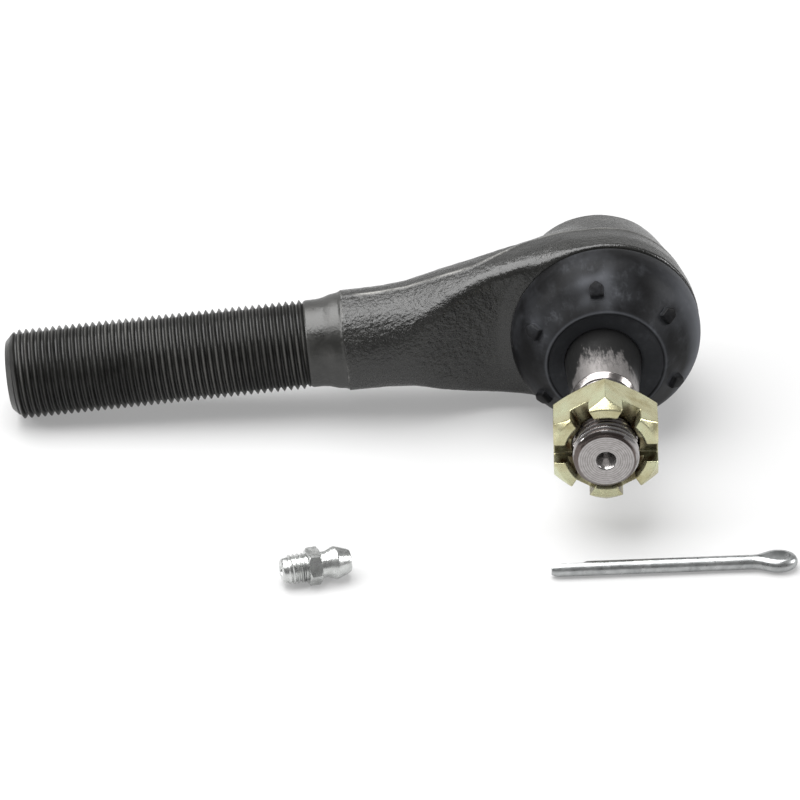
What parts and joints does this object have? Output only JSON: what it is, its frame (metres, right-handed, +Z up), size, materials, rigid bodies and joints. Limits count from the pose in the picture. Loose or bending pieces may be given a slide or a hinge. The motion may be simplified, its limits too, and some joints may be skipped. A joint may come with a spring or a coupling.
{
  "type": "tie rod end",
  "caption": "Steering ball joint with a threaded shank, swivelling taper stud under a rubber boot, castle nut, and a loose cotter pin and grease fitting beside it.",
  "frame": {"origin": "centre of the ball joint, which is also on the shank's axis", "axes": "-Y out of the socket towards the stud, -X along the shank (which droops about 5 degrees to rest on the floor), +Z up; the part lies on its side"},
  "size_m": [0.1683, 0.0927, 0.0426],
  "materials": {
    "forged_steel": "dark oiled forging, machined thread",
    "bearing_polymer": "natural acetal",
    "spring_steel": "plain spring steel",
    "cover_steel": "pressed steel",
    "stud_steel": "ground bare steel with a film of grease",
    "boot_rubber": "satin black with a faint bloom",
    "yellow_zinc": "yellow passivated zinc",
    "bright_zinc": "bright zinc"
  },
  "bodies": {
    "housing": {"housing": "forged_steel", "upper_bearing": "bearing_polymer", "cover_plate": "cover_steel"},
    "seat": {"lower_bearing": "bearing_polymer", "preload_spring": "spring_steel"},
    "boot_base": {"boot_base_ring": "spring_steel"},
    "boot_neck": {"boot_neck_ring": "spring_steel", "dust_boot": "boot_rubber"},
    "stud": {"ball_stud": "stud_steel"},
    "nut": {"castle_nut": "yellow_zinc"},
    "cotter": {"cotter_pin": "bright_zinc"},
    "fitting": {"grease_fitting_body": "bright_zinc", "grease_fitting_spring": "spring_steel"},
    "check_ball": {"grease_fitting_ball": "stud_steel"}
  },
  "joints": [
    {"name": "seat_give", "type": "slide", "parent": "housing", "child": "seat", "axis": [0, 1, 0], "range_m": [0, 0.0004], "stiffness_N_per_m": 60000, "deforming": ["preload_spring"]},
    {"name": "boot_turn", "type": "hinge", "parent": "housing", "child": "boot_base", "pos_m": [0, 0, 0], "axis": [0, -1, 0], "continuous": true},
    {"name": "stud_swing", "type": "hinge", "parent": "boot_base", "child": "boot_neck", "pos_m": [0, 0, 0], "axis": [0, 0, 1], "range_deg": [-13, 23], "deforming": ["dust_boot"]},
    {"name": "stud_spin", "type": "hinge", "parent": "boot_neck", "child": "stud", "pos_m": [0, 0, 0], "axis": [-0.0889, -0.996, 0], "continuous": true},
    {"name": "nut_travel", "type": "slide", "parent": "stud", "child": "nut", "axis": [-0.0889, -0.996, 0], "range_m": [0, 0.018]},
    {"name": "cotter_slide", "type": "slide", "parent": "housing", "child": "cotter", "axis": [0, -1, 0], "range_m": [0, 0.04]},
    {"name": "fitting_slide", "type": "slide", "parent": "housing", "child": "fitting", "axis": [0, -1, 0], "range_m": [0, 0.04]},
    {"name": "check_ball_give", "type": "slide", "parent": "fitting", "child": "check_ball", "axis": [-0.9763, -0.2164, 0], "range_m": [0, 0.0006], "stiffness_N_per_m": 900, "deforming": ["grease_fitting_spring"]}
  ]
}
